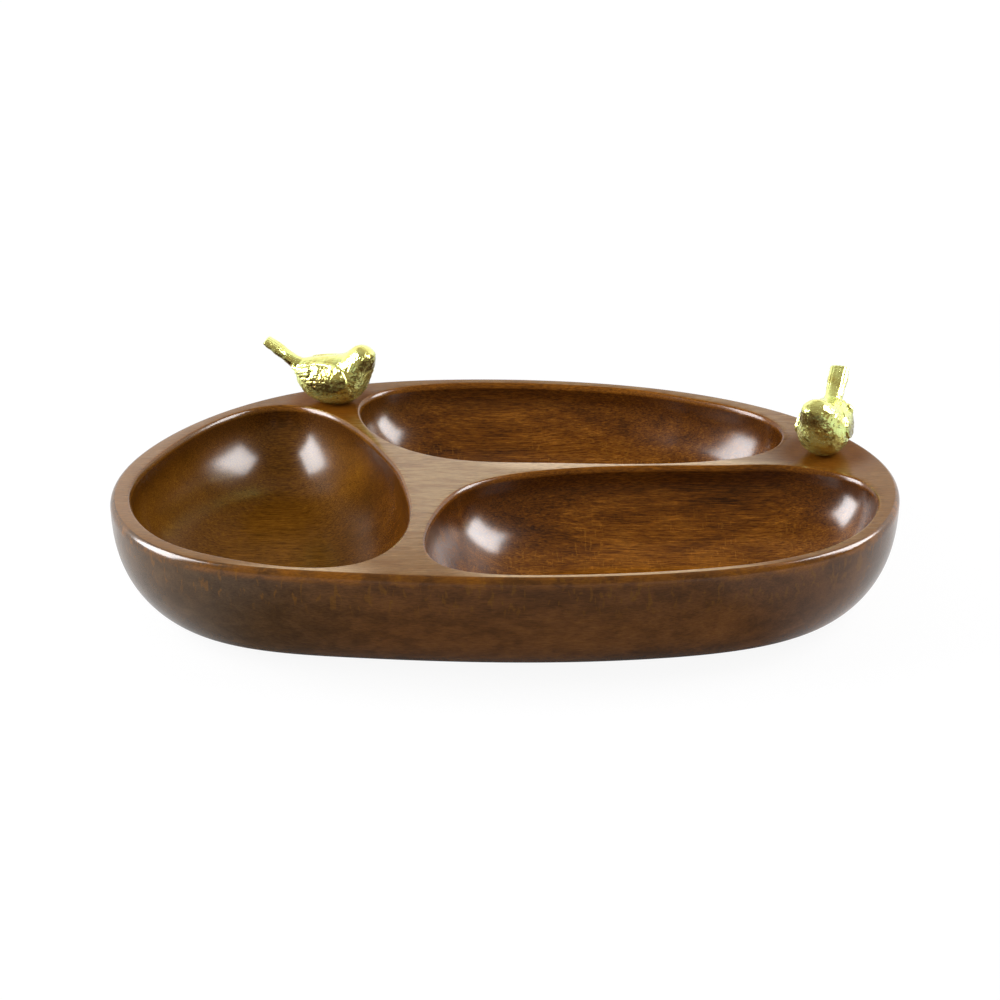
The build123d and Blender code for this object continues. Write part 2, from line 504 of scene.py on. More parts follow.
def add_loft(shape, rings, start_rounding, end_rounding):
    """Adds a closed loft through rings of points, with both ends rounded."""
    starts, start_tip = rounded_end(rings[0], unit(rings[0].mean(0) - rings[1].mean(0)), start_rounding)
    ends, end_tip = rounded_end(rings[-1], unit(rings[-1].mean(0) - rings[-2].mean(0)), end_rounding)
    added = [shape.add(ring) for ring in starts[::-1] + rings + ends]
    for ring, following in zip(added, added[1:]):
        shape.join(ring, following, True)
    shape.close(added[0], start_tip)
    shape.close(added[-1], end_tip, True)


def unit(vector):
    """The vector at length 1."""
    return vector / np.linalg.norm(vector)


def body_rings():
    """Ellipses that fan out from the rump, over the belly, to the turned face."""
    smooth, where = smooth_rows(BODY_SECTIONS, BODY_RINGS)
    last = len(BODY_SECTIONS) - 1
    rings = []
    for (back_x, back_z, belly_x, belly_z, width), section in zip(smooth, where):
        share = max(0, section - SHOULDER_SECTION) / (last - SHOULDER_SECTION)
        middle = ((back_x + belly_x) / 2, 0, (back_z + belly_z) / 2)
        up = ((back_x - belly_x) / 2, 0, (back_z - belly_z) / 2)
        rings.append(swing_head(ellipse_ring(middle, (0, width, 0), up), share))
    return rings


def tail_rings():
    """Flat ellipses along the raised tail."""
    smooth, _ = smooth_rows(TAIL_SECTIONS, TAIL_RINGS)
    rings = []
    for x, z, thickness, width, tilt in smooth:
        lean = math.radians(tilt)
        up = np.array((math.sin(lean), 0, math.cos(lean))) * thickness * TAIL_FULLNESS
        rings.append(ellipse_ring((x, 0, z), (0, width, 0), up))
    return rings


def wing_tip_rings(side):
    """The thin end of a folded wing that stands free of the rump."""
    smooth, _ = smooth_rows(WING_TIP_SECTIONS, WING_TIP_RINGS)
    return [
        ellipse_ring((x, side * y, z), (0, side * thickness, 0), (0, 0, height))
        for x, y, z, height, thickness in smooth
    ]


def beak_rings():
    """A short blunt cone from inside the face."""
    lift = math.radians(BEAK_LIFT)
    ahead = np.array((math.cos(lift), 0, math.sin(lift)))
    up = np.array((-math.sin(lift), 0, math.cos(lift)))
    rings = []
    for share in np.linspace(0, 1, BEAK_RINGS):
        radius = BEAK_RADII[0] + (BEAK_RADII[1] - BEAK_RADII[0]) * share
        middle = np.array((BEAK_ROOT[0], 0, BEAK_ROOT[1])) + ahead * BEAK_LENGTH * share
        rings.append(swing_head(ellipse_ring(middle, (0, radius, 0), up * radius)))
    return rings


def distance_inside(places, outline):
    """How far inside an outline each flat place lies, in millimetres, and 0 outside."""
    starts, sides = outline, np.roll(outline, -1, 0) - outline
    to_place = places[:, None] - starts[None]
    share = np.clip((to_place * sides).sum(2) / (sides**2).sum(1), 0, 1)
    nearest = starts + share[..., None] * sides
    gap = np.linalg.norm(places[:, None] - nearest, axis=2).min(1)
    return np.where(is_inside(places, outline), gap, 0)


def inside_wing(points):
    """How far inside a folded wing's outline each point of the bird lies, seen from the side."""
    front, _ = smooth_rows(WING_ROUND, WING_OUTLINE_POINTS)
    outline = np.vstack([[WING_TIP], front])
    beside = np.abs(points[:, 1]) > WING_INNER_Y
    return np.where(beside, distance_inside(points[:, [0, 2]], outline), 0)


def distance_to(points, place, side):
    """How far each point of the bird is from a place on its turned head, on one side of it."""
    return np.linalg.norm(points - swing_head(np.array((place[0], side * place[1], place[2]))), axis=1)


def relief(points, normals):
    """How far each point of the bird's skin stands out, in millimetres."""
    inside = inside_wing(points)
    height = WING_RISE * smoothstep(inside, 0, WING_EDGE)

    # Long feathers: grooves that run back along the wing and bend up to its tip
    across = points[:, 2] + FEATHER_BEND * (points[:, 0] - FEATHER_BEND_X) ** 2
    groove = np.abs(np.sin(np.pi * across / FEATHER_GAP))
    behind = smoothstep(FEATHERS_FROM_X - points[:, 0], 0, FEATHERS_FULL_AFTER)
    feathered = smoothstep(inside, *FEATHERS_INSIDE_WING) * behind
    height -= FEATHER_DEPTH * (1 - smoothstep(groove, 0, FEATHER_GROOVE)) * feathered

    on_tail = smoothstep(-points[:, 0], *TAIL_FEATHERS_BEHIND)
    tail_groove = np.abs(np.sin(np.pi * (points[:, 1] / TAIL_FEATHER_GAP + 0.5)))
    height -= TAIL_FEATHER_DEPTH * (1 - smoothstep(tail_groove, 0, TAIL_FEATHER_GROOVE)) * on_tail

    for side in (1, -1):
        away = distance_to(points, EYE_PLACE, side)
        height -= EYE_DEPTH * (1 - smoothstep(away, *EYE_EDGE))
        height += EYEBALL_RISE * (1 - smoothstep(away, *EYEBALL_EDGE))

    # The skin is crumpled like hammered foil on the sides, and smoother on the back
    crumpled = 1 - BACK_SMOOTHNESS * smoothstep(normals[:, 2], *BACK_FACING_UP)
    for length, amount in CRUMPLES:
        waves = [noise.noise(Vector(p) / length) for p in points]
        height += amount * np.array(waves) * crumpled
    return height


def painted_gold_shade(points):
    """How much painted shade, standing in for dark reflections, each point of the bird gets, from 0 to 1: the
    lower wings, the tail's underside, the cheeks.
    """
    on_wing = smoothstep(inside_wing(points), *SHADE_INSIDE_WING)
    brown = LOWER_WING_SHADE * on_wing * (1 - smoothstep(points[:, 2], *SHADE_WING_TOP))

    along = np.array([(x, z) for x, z, *_ in TAIL_SECTIONS[::-1]])
    below = np.interp(points[:, 0], along[:, 0], along[:, 1]) - points[:, 2]
    under_tail = smoothstep(below, *SHADE_BELOW_TAIL) * smoothstep(-points[:, 0], *SHADE_BEHIND_RUMP)
    brown = np.maximum(brown, TAIL_SHADE * under_tail)

    for side in (1, -1):
        on_cheek = 1 - smoothstep(distance_to(points, CHEEK_PLACE, side), *CHEEK_REACH)
        brown = np.maximum(brown, CHEEK_SHADE * on_cheek)
    return brown


def build_casting():
    """The bird's points and faces in its own frame: lofts joined by remeshing, then its skin's relief."""
    shape = Shape()
    add_loft(shape, body_rings(), *BODY_ROUNDINGS)
    add_loft(shape, tail_rings(), *TAIL_ROUNDINGS)
    add_loft(shape, beak_rings(), *BEAK_ROUNDINGS)
    for side in (1, -1):
        add_loft(shape, wing_tip_rings(side), *WING_TIP_ROUNDINGS)
    mesh = bpy.data.meshes.new("casting")
    mesh.from_pydata(shape.points, [], [[int(i) for i in face] for face in shape.faces])
    draft = bpy.data.objects.new("casting", mesh)
    bpy.context.scene.collection.objects.link(draft)
    joined = draft.modifiers.new("join", "REMESH")
    joined.mode = "VOXEL"
    joined.voxel_size = BIRD_VOXEL
    relaxed = draft.modifiers.new("relax", "SMOOTH")
    relaxed.iterations = BIRD_SMOOTHING
    made = bpy.data.meshes.new_from_object(draft.evaluated_get(bpy.context.evaluated_depsgraph_get()))
    bpy.data.objects.remove(draft)
    points = point_array(made, "co")
    normals = point_array(made, "normal")
    points += normals * relief(points, normals)[:, None]
    points[:, 2] = points[:, 2].clip(0, BIRD_HEIGHT)
    return points, [tuple(face.vertices) for face in made.polygons]


def build_birds(material):
    """The same casting, set on the rim at both feet."""
    points, faces = build_casting()
    brown = painted_gold_shade(points)
    for name, (*foot, heading) in BIRD_STANDS.items():
        placed = turned(points, heading) + (*foot, BLOCK_HEIGHT)
        bird = add_piece(f"gold_{name}_bird", placed, faces, material, f"{name}_bird")
        add_point_values(bird.data, "painted_gold_shade", brown)


class Shading:
    """Adds nodes to one node tree. A value is a number, a vector, a colour or another node's output."""

    def __init__(self, tree):
        self.tree = tree

    def connect(self, value, socket):
        """Links an output to an input, or writes a plain value there."""
        if isinstance(value, bpy.types.NodeSocket):
            self.tree.links.new(value, socket)
        else:
            socket.default_value = value

    def fill(self, made, inputs):
        """Connects values to a node's named inputs."""
        for name, value in inputs.items():
            self.connect(value, made.inputs[name])

    def node(self, kind, inputs=None, **settings):
        """Adds a shader node."""
        made = self.tree.nodes.new("ShaderNode" + kind)
        for name, value in settings.items():
            setattr(made, name, value)
        self.fill(made, inputs or {})
        return made

    def coordinates(self, kind):
        """The surface's place ("Object", in metres), its direction ("Normal") or a ray's ("Generated")."""
        return self.node("TexCoord").outputs[kind]

    def parts(self, vector):
        """A vector's X, Y and Z."""
        return list(self.node("SeparateXYZ", {0: vector}).outputs)

    def attribute(self, name):
        """A number stored with the mesh's points."""
        return self.node("Attribute", attribute_name=name).outputs["Fac"]

    def vector(self, operation, first, second):
        """The vector that one Vector Math node gives."""
        return self.node("VectorMath", {0: first, 1: second}, operation=operation).outputs["Vector"]

    def distance(self, first, second=(0, 0, 0)):
        """How far apart two places are."""
        return self.node("VectorMath", {0: first, 1: second}, operation="DISTANCE").outputs["Value"]

    def math(self, operation, first, second=0.0, third=0.0):
        """The number that one Math node gives."""
        return self.node("Math", {0: first, 1: second, 2: third}, operation=operation).outputs[0]

    def product(self, first, *others):
        """All the values multiplied together."""
        for other in others:
            first = self.math("MULTIPLY", first, other)
        return first

    def largest(self, first, *others):
        """The largest of the values."""
        for other in others:
            first = self.math("MAXIMUM", first, other)
        return first

    def line(self, value, slope, start):
        """The value times a slope, on top of a start."""
        return self.math("MULTIPLY_ADD", value, slope, start)

    def rest(self, share):
        """What a share leaves of 1."""
        return self.math("SUBTRACT", 1.0, share)

    def span(self, value, between, becomes=(0.0, 1.0)):
        """The value taken smoothly from one span of numbers to another, and held at its ends."""
        inputs = dict(enumerate((value, *between, *becomes)))
        return self.node("MapRange", inputs, interpolation_type="SMOOTHSTEP").outputs[0]

    def noise(self, place, kind):
        """Noise of a kind: features per metre in X, Y and Z, detail, roughness, distortion."""
        stretch, detail, roughness, distortion = kind
        inputs = {
            "Vector": self.vector("MULTIPLY", place, stretch),
            "Scale": 1.0,
            "Detail": detail,
            "Roughness": roughness,
            "Distortion": distortion,
        }
        return self.node("TexNoise", inputs).outputs["Fac"]

    def mix(self, share, first, second, kind="MIX"):
        """A mix of two colours."""
        made = self.node("Mix", data_type="RGBA", blend_type=kind)
        for number, value in ((0, share), (6, first), (7, second)):
            self.connect((*value, 1) if isinstance(value, tuple) else value, made.inputs[number])
        return made.outputs[2]

    def shade(self, colour, by):
        """A colour multiplied by another, or by a number."""
        return self.mix(1.0, colour, by, "MULTIPLY")

    def ramp(self, value, stops):
        """A colour ramp through (position, colour) stops."""
        made = self.node("ValToRGB", {"Fac": value})
        elements = made.color_ramp.elements
        while len(elements) < len(stops):
            elements.new(1.0)
        for element, (position, colour) in zip(elements, stops):
            element.position = position
            element.color = (*colour, 1)
        return made.outputs["Color"]

    def bump(self, height, strength, distance):
        """The normal of a surface with a little relief."""
        inputs = {"Height": height, "Strength": strength, "Distance": distance}
        return self.node("Bump", inputs).outputs["Normal"]

    def shader_mix(self, share, first, second):
        """A mix of two shaders."""
        return self.node("MixShader", {0: share, 1: first, 2: second}).outputs[0]


def new_material(name):
    """A material, the Shading that adds nodes to it, and its Principled shader."""
    material = bpy.data.materials.new(name)
    material.use_nodes = True
    tree = material.node_tree
    return material, Shading(tree), tree.nodes["Principled BSDF"]


FADE_OUT = (1.0, 0.0)

# Colours of the stained wood, and of the painted sheen and painted shade on it
WOOD_DARK = (0.04, 0.01, 0.0006)
WOOD_MIDDLE = (0.145, 0.043, 0.0018)
WOOD_AMBER = (0.335, 0.118, 0.009)
WOOD_EDGE = (0.24, 0.08, 0.004)
WOOD_UNDER_EDGE = (0.05, 0.013, 0.0005)
WOOD_CALM = (0.15, 0.06, 0.0055)
WOOD_OUTSIDE = (0.106, 0.042, 0.0115)
# Painted sheen: the side's ends are darker and greyer
WOOD_OUTSIDE_END_SHEEN = (0.06, 0.035, 0.016)
# Painted sheen on the pockets' lips and the rim's narrow strips
WOOD_LIP_SHEEN = (0.53, 0.36, 0.195)
# Rim colour: partly lighter stain, partly painted sheen of the bright back wall
WOOD_RIM_STAIN_AND_SHEEN = (0.3, 0.18, 0.064)
WOOD_RIM_DARK = (0.17, 0.068, 0.007)
# Painted shadow round the birds' feet, darker and redder than the rim
WOOD_PAINTED_BIRD_SHADE = (0.15, 0.048, 0.004)
# Painted shade for the round pocket's right wall
SHADED_WALL = (0.62, 0.58, 0.6)

# The wood's noises: features per metre in X, Y and Z, detail, roughness, distortion
WOOD_NOISES = {
    "blotches": ((14, 34, 34), 2.0, 0.5, 0.0),
    "patches": ((42, 180, 180), 4.0, 0.6, 0.5),
    "streaks": ((75, 1700, 1700), 3.0, 0.6, 0.2),
    "threads": ((260, 2600, 2600), 3.0, 0.7, 0.0),
    "smudges": ((90, 130, 150), 4.0, 0.6, 0.4),
    "scratches": ((420, 420, 150), 2.0, 0.5, 0.6),
    "rays": ((900, 220, 240), 2.0, 0.5, 0.3),
    "ray_groups": ((45, 60, 60), 1.0, 0.5, 0.0),
    "sanding": ((1500, 90, 120), 3.0, 0.6, 0.0),
}

# The stain's tone: where it starts, how much each noise adds, and its colours
TONE_START = 0.045
BLOTCH_TONE = 0.34
PATCH_TONE = 0.40
STREAK_TONE = 0.50
STAIN_RAMP = [(0.5, WOOD_DARK), (0.665, WOOD_MIDDLE), (0.85, WOOD_AMBER)]

# Heights above the table, then places along X and along Y, in metres, where something starts or ends
FLOORS_END = (0.0165, 0.024)
FLECKS_END = (0.017, 0.04)
LOW_WALLS_END = (0.024, 0.038)
SCRATCHES_START = (0.03, 0.042)
UNDER_EDGE_DARK_STARTS = (0.036, 0.0495)
UNDER_EDGE_DARK_ENDS = (0.0498, 0.0512)
DULL_WALL_ENDS = (0.044, 0.049)
WORN_OUTER_EDGE_STARTS = (0.047, 0.05)
WORN_POCKET_EDGE_STARTS = (0.0498, 0.0514)
LIPS_START = (0.05, 0.0515)
RIM_STARTS = (0.0518, 0.0529)
ROUND_POCKET_ENDS = (-0.075, -0.035)
SHADED_WALL_STARTS = (-0.1, -0.06)
SHADED_WALL_ENDS = (-0.042, -0.03)
LEFT_END_ENDS = (-0.135, -0.045)
RIGHT_END_STARTS = (0.125, 0.175)
FULL_EDGE_WEAR_STARTS = (-0.16, -0.115)
SHINY_ENDS_START = (0.1, 0.17)
BACK_POCKET_RIGHT = (0.06, 0.11)
RIGHT_RIM_STARTS = (0.11, 0.15)
FRONT_TRIANGLE_X = -0.037
FRONT_TRIANGLE_REACH = (0.01, 0.04)
SHADED_WALL_BACK = (0.02, 0.04)
DULL_WALL_BACK = (0.036, 0.054)
BEHIND_MIDDLE = (0.008, 0.02)
OUTER_RIM_STARTS = (0.04, 0.11)
FRONT_STRIP_ENDS = (-0.109, -0.098)

# Rim points and how far they reach: the middle of the painted sheen, the thin wall between two pockets, the
# birds' painted shade
RIM_SHEEN_MIDDLE = (0.035, 0.0, 0.053)
RIM_SHEEN_REACH = (0.04, 0.16)
THIN_WALL_MIDDLE = (0.06, 0.006, 0.053)
THIN_WALL_STRETCH = (1.0, 9.0, 1.0)
THIN_WALL_REACH = (0.05, 0.08)
BIRD_SHADE_REACH = (0.014, 0.036)

# How strong some of the wood's marks, painted sheen and painted shade are, where 1 is full
ROUND_POCKET_CALM = 0.72
OUTSIDE_STAIN = 0.88
RIGHT_END_SHEEN = 0.5
SCRATCH_STRENGTH = 0.55
FLECK_STRENGTH = 0.52
FLECKS_LOST_IN_CALM = 0.62
UNDER_EDGE_DARKENING = 0.75
LIP_SHEEN_STRENGTH = 0.85
BIRD_SHADE_STRENGTH = 0.95
THREADS_LOST_OUTSIDE = 0.5

# How much of the lacquer is worn away in places; round the birds it is thinned as painted shade, cutting the
# sheen
FLOOR_WEAR = 0.55
CALM_FLOOR_WEAR = 0.42
HANGING_WEAR = 0.62
POCKET_WEAR = 0.08
BACK_RIGHT_WEAR = 0.2
LOW_WALL_WEAR = 0.35
DULL_WALL_WEAR = 0.95
OUTER_RIM_WEAR = 0.5
RIGHT_RIM_WEAR = 0.4
BIRD_SHADE_SHEEN_CUT = 0.82

WOOD_SHADER = {"Roughness": 0.55, "Specular IOR Level": 0.0, "Coat Roughness": 0.2, "Coat IOR": 1.5}
GRAIN_BUMP = (0.2, 0.0001)
LACQUER_BUMP = (0.09, 0.0002)
LACQUER_MARKS = 0.6


def wood_surface(nodes):
    """What the stain and the lacquer depend on: places, directions, noises, and masks of some areas."""
    wood = SimpleNamespace(place=nodes.coordinates("Object"))
    wood.x, wood.y, wood.height = nodes.parts(wood.place)
    wood.facing_x, wood.facing_y, wood.facing_up = nodes.parts(nodes.coordinates("Normal"))
    wood.pocket = nodes.attribute("pocket")
    wood.outside = nodes.rest(wood.pocket)
    wood.calm = nodes.span(wood.x, ROUND_POCKET_ENDS, (ROUND_POCKET_CALM, 0.0))
    wood.rim = nodes.product(nodes.span(wood.facing_up, (0.95, 0.998)), nodes.span(wood.height, RIM_STARTS))
    # Painted shadow round the birds' feet: a mask that darkens and reddens the rim and thins its lacquer there
    feet = [(x * MM, y * MM, BLOCK_HEIGHT * MM) for x, y, _ in BIRD_STANDS.values()]
    to_bird = nodes.math("MINIMUM", *[nodes.distance(wood.place, foot) for foot in feet])
    wood.by_bird = nodes.span(to_bird, BIRD_SHADE_REACH, (BIRD_SHADE_STRENGTH, 0.0))
    for name, kind in WOOD_NOISES.items():
        setattr(wood, name, nodes.noise(wood.place, kind))
    return wood


def pocket_stain_and_wall_shade(nodes, wood):
    """The blotchy stain, which is more even in the round pocket, with painted shade on that pocket's right
    wall.
    """
    tone = nodes.line(wood.blotches, BLOTCH_TONE, TONE_START)
    tone = nodes.line(wood.patches, PATCH_TONE, tone)
    tone = nodes.line(wood.streaks, STREAK_TONE, tone)
    colour = nodes.ramp(tone, STAIN_RAMP)
    calm_colour = nodes.shade(WOOD_CALM, nodes.span(wood.streaks, (0.3, 0.7), (0.72, 1.26)))
    colour = nodes.mix(wood.calm, colour, calm_colour)
    # Painted shade: the round pocket's right wall is darkened
    shaded = nodes.product(
        nodes.span(wood.x, SHADED_WALL_STARTS),
        nodes.span(wood.x, SHADED_WALL_ENDS, FADE_OUT),
        nodes.span(wood.y, SHADED_WALL_BACK, FADE_OUT),
        wood.pocket,
    )
    return nodes.mix(shaded, colour, nodes.shade(colour, SHADED_WALL))


def outside_stain_and_sheen(nodes, wood, colour):
    """The plainer stain of the block's side, painted darker and greyer at its ends as painted sheen, with short
    pale scratches below the rim.
    """
    # Painted sheen: the ends are blended towards a darker, greyer colour
    left_end = nodes.span(wood.x, LEFT_END_ENDS, FADE_OUT)
    right_end = nodes.product(nodes.span(wood.x, RIGHT_END_STARTS), RIGHT_END_SHEEN)
    wall = nodes.mix(nodes.largest(right_end, left_end), WOOD_OUTSIDE, WOOD_OUTSIDE_END_SHEEN)
    wall = nodes.shade(wall, nodes.span(wood.smudges, (0.34, 0.66), (0.8, 1.22)))
    wall = nodes.shade(wall, nodes.span(wood.blotches, (0.34, 0.66), (0.8, 1.18)))
    colour = nodes.mix(nodes.product(wood.outside, OUTSIDE_STAIN), colour, wall)
    scratches = nodes.product(
        nodes.span(wood.scratches, (0.58, 0.65), (0.0, SCRATCH_STRENGTH)),
        nodes.span(wood.height, SCRATCHES_START),
        wood.outside,
    )
    return nodes.mix(scratches, colour, WOOD_RIM_DARK)


def ray_flecks(nodes, wood, colour):
    """Short upright flecks where the pockets' walls cut across the beech's rays."""
    flecks = nodes.product(
        nodes.span(wood.rays, (0.58, 0.64)),
        nodes.span(wood.ray_groups, (0.44, 0.56)),
        nodes.span(wood.height, FLECKS_END, FADE_OUT),
        wood.pocket,
        nodes.line(wood.calm, -FLECKS_LOST_IN_CALM, FLECK_STRENGTH),
    )
    return nodes.mix(flecks, colour, WOOD_AMBER)


def rim_stain_and_sheen(nodes, wood, colour):
    """The flat rim: partly lighter stain and partly painted sheen, palest in the middle of the dish, with
    darker, redder painted shade by the birds.
    """
    tone = nodes.product(
        nodes.span(wood.streaks, (0.3, 0.7), (0.8, 1.18)),
        # Painted sheen: the rim is palest in the middle of the dish and darker towards its ends
        nodes.span(nodes.distance(wood.place, RIM_SHEEN_MIDDLE), RIM_SHEEN_REACH, (1.0, 0.52)),
        nodes.span(wood.patches, (0.36, 0.64), (0.76, 1.14)),
    )
    rim_colour = nodes.mix(nodes.span(tone, (0.45, 1.1)), WOOD_RIM_DARK, WOOD_RIM_STAIN_AND_SHEEN)
    # Painted shadow of the birds on the rim
    rim_colour = nodes.mix(wood.by_bird, rim_colour, WOOD_PAINTED_BIRD_SHADE)
    return nodes.mix(wood.rim, colour, rim_colour)


def edge_wear_and_darkening(nodes, wood, colour):
    """Amber along each sanded edge, and a darker band just below the pockets' edges."""
    under_edge_dark = nodes.product(
        nodes.span(wood.height, UNDER_EDGE_DARK_STARTS),
        nodes.span(wood.height, UNDER_EDGE_DARK_ENDS, FADE_OUT),
        wood.pocket,
        UNDER_EDGE_DARKENING,
    )
    colour = nodes.mix(under_edge_dark, colour, WOOD_UNDER_EDGE)
    worn_inside = nodes.product(
        nodes.span(wood.height, WORN_POCKET_EDGE_STARTS),
        wood.pocket,
        nodes.span(nodes.math("ABSOLUTE", wood.facing_x), (0.25, 0.65), (1.0, 0.2)),
    )
    worn_outside = nodes.product(
        nodes.span(wood.height, WORN_OUTER_EDGE_STARTS),
        wood.outside,
        nodes.span(wood.smudges, (0.42, 0.58), (0.3, 1.0)),
        nodes.span(wood.x, FULL_EDGE_WEAR_STARTS, (0.3, 1.0)),
    )
    worn = nodes.product(
        nodes.largest(worn_inside, worn_outside),
        nodes.span(wood.blotches, (0.35, 0.65), (0.4, 0.95)),
        nodes.rest(wood.rim),
    )
    return nodes.mix(worn, colour, WOOD_EDGE)


def painted_lip_sheen(nodes, wood, colour):
    """Painted sheen: the pockets' front lips, which face the back, and the rim's narrow strips are painted
    pale.
    """
    lips = nodes.product(
        nodes.span(wood.facing_y, (0.08, 0.45)), wood.pocket, nodes.span(wood.height, LIPS_START)
    )
    off_triangle = nodes.math("ABSOLUTE", nodes.math("SUBTRACT", wood.x, FRONT_TRIANGLE_X))
    front_strip = nodes.product(
        nodes.span(wood.y, FRONT_STRIP_ENDS, FADE_OUT), nodes.span(off_triangle, FRONT_TRIANGLE_REACH)
    )
    from_wall = nodes.vector("SUBTRACT", wood.place, THIN_WALL_MIDDLE)
    from_wall = nodes.distance(nodes.vector("MULTIPLY", from_wall, THIN_WALL_STRETCH))
    thin_wall = nodes.span(from_wall, THIN_WALL_REACH, FADE_OUT)
    strips = nodes.product(nodes.largest(front_strip, thin_wall), wood.rim)
    # Painted sheen: these places are blended to pale cream
    return nodes.mix(nodes.product(nodes.largest(lips, strips), LIP_SHEEN_STRENGTH), colour, WOOD_LIP_SHEEN)


def lacquer_weight(nodes, wood):
    """The lacquer: full on the pockets' walls and the edges, worn on the floors, the outside and the rim."""
    floors = nodes.product(nodes.span(wood.height, FLOORS_END, FADE_OUT), wood.pocket)
    floor_slope = nodes.line(wood.calm, -CALM_FLOOR_WEAR, -FLOOR_WEAR)
    lacquer = nodes.line(floors, floor_slope, 1.0)
    back_right = nodes.product(nodes.span(wood.x, BACK_POCKET_RIGHT), nodes.span(wood.y, BEHIND_MIDDLE))
    pocket_wear = nodes.product(wood.pocket, nodes.line(back_right, BACK_RIGHT_WEAR, POCKET_WEAR))
    hanging_wear = nodes.product(
        nodes.span(wood.facing_up, (-0.25, 0.25), FADE_OUT),
        nodes.span(nodes.math("ABSOLUTE", wood.x), SHINY_ENDS_START, (HANGING_WEAR, 0.0)),
    )

    # The round pocket is duller on its low walls and at its back
    off_floor = nodes.product(wood.pocket, nodes.rest(floors))
    low_walls = nodes.span(wood.height, LOW_WALLS_END, FADE_OUT)
    low_walls = nodes.product(low_walls, off_floor, LOW_WALL_WEAR)
    back_wall = nodes.product(
        nodes.span(wood.y, DULL_WALL_BACK, (DULL_WALL_WEAR, 0.0)),
        nodes.span(wood.height, DULL_WALL_ENDS, FADE_OUT),
    )
    dull_wear = nodes.product(nodes.largest(low_walls, back_wall), wood.calm, off_floor)

    outer_rim = nodes.span(nodes.math("ABSOLUTE", wood.y), OUTER_RIM_STARTS, (0.0, OUTER_RIM_WEAR))
    right_rim = nodes.span(wood.x, RIGHT_RIM_STARTS, (0.0, RIGHT_RIM_WEAR))
    # Painted shade: less lacquer round the birds cuts the sheen there
    by_bird = nodes.product(wood.by_bird, BIRD_SHADE_SHEEN_CUT)
    rim_wear = nodes.product(wood.rim, nodes.largest(outer_rim, right_rim, by_bird))
    for wear in (pocket_wear, hanging_wear, dull_wear, rim_wear):
        lacquer = nodes.math("SUBTRACT", lacquer, wear)
    return lacquer


def wood_material():
    """Beech stained walnut brown, with its grain along X, under a satin lacquer with faint sanding marks."""
    material, nodes, shader = new_material("stained_wood")
    wood = wood_surface(nodes)
    colour = pocket_stain_and_wall_shade(nodes, wood)
    for add_marks in (outside_stain_and_sheen, ray_flecks, rim_stain_and_sheen, edge_wear_and_darkening, painted_lip_sheen):
        colour = add_marks(nodes, wood, colour)
    threaded = nodes.shade(colour, nodes.span(wood.threads, (0.34, 0.64), (0.55, 1.38)))
    colour = nodes.mix(nodes.line(wood.outside, -THREADS_LOST_OUTSIDE, 1.0), colour, threaded)
    marks = nodes.line(wood.sanding, LACQUER_MARKS, nodes.product(wood.streaks, LACQUER_MARKS))
    inputs = {
        "Base Color": colour,
        "Normal": nodes.bump(wood.threads, *GRAIN_BUMP),
        "Coat Weight": lacquer_weight(nodes, wood),
        "Coat Normal": nodes.bump(marks, *LACQUER_BUMP),
    }
    nodes.fill(shader, {**inputs, **WOOD_SHADER})
    return material


GOLD_RAMP = [(0.32, (0.72, 0.7, 0.19)), (0.6, (0.82, 0.96, 0.36))]
# The gold's brown: tarnish in creases, and painted shade
GOLD_TARNISH_AND_SHADE = (0.12, 0.06, 0.008)
GOLD_SHADER = {"Metallic": 0.8, "Roughness": 0.14}
GOLD_BUMP = (0.5, 0.0003)
CREASE_TARNISH_AND_SHADE = 0.7
UNDERSIDE_SHADE = 0.45
STEEL_RAMP = [(0.3, (0.45, 0.45, 0.44)), (0.7, (0.62, 0.62, 0.6))]
STEEL_SHADER = {"Metallic": 1.0, "Roughness": 0.35}

# The metals' noises, in the same order as the wood's
GOLD_GRAIN = ((900, 900, 900), 4.0, 0.6, 0.0)
GOLD_PATCHES = ((160, 160, 160), 3.0, 0.5, 0.0)
GOLD_CREASES = ((420, 420, 560), 3.0, 0.65, 0.6)
STEEL_GRAIN = ((500, 500, 3000), 3.0, 0.5, 0.0)


def gold_material():
    """Bright yellow plating on a casting that was never polished quite smooth."""
    material, nodes, shader = new_material("plated_gold")
    place = nodes.coordinates("Object")
    upward = nodes.parts(nodes.coordinates("Normal"))[2]
    colour = nodes.ramp(nodes.noise(place, GOLD_PATCHES), GOLD_RAMP)

    # Brown: tarnish and painted shade in the creases of the sides, painted shade where the mesh is marked and
    # on what faces down
    creases = nodes.noise(place, GOLD_CREASES)
    creased = nodes.product(
        nodes.span(creases, (0.385, 0.445), (CREASE_TARNISH_AND_SHADE, 0.0)), nodes.span(upward, (0.35, 0.65), FADE_OUT)
    )
    # Painted shade where the mesh is marked, standing in for dark reflections
    marked = nodes.product(nodes.attribute("painted_gold_shade"), nodes.span(creases, (0.42, 0.6), (1.0, 0.7)))
    underside = nodes.span(upward, (-0.95, -0.65), (UNDERSIDE_SHADE, 0.0))
    for brown in (creased, marked, underside):
        colour = nodes.mix(brown, colour, GOLD_TARNISH_AND_SHADE)
    normal = nodes.bump(nodes.noise(place, GOLD_GRAIN), *GOLD_BUMP)
    nodes.fill(shader, {"Base Color": colour, "Normal": normal, **GOLD_SHADER})
    return material


def steel_material():
    """Zinc-plated stud, hidden in the wood and the bird."""
    material, nodes, shader = new_material("zinc_steel")
    colour = nodes.ramp(nodes.noise(nodes.coordinates("Object"), STEEL_GRAIN), STEEL_RAMP)
    nodes.fill(shader, {"Base Color": colour, **STEEL_SHADER})
    return material


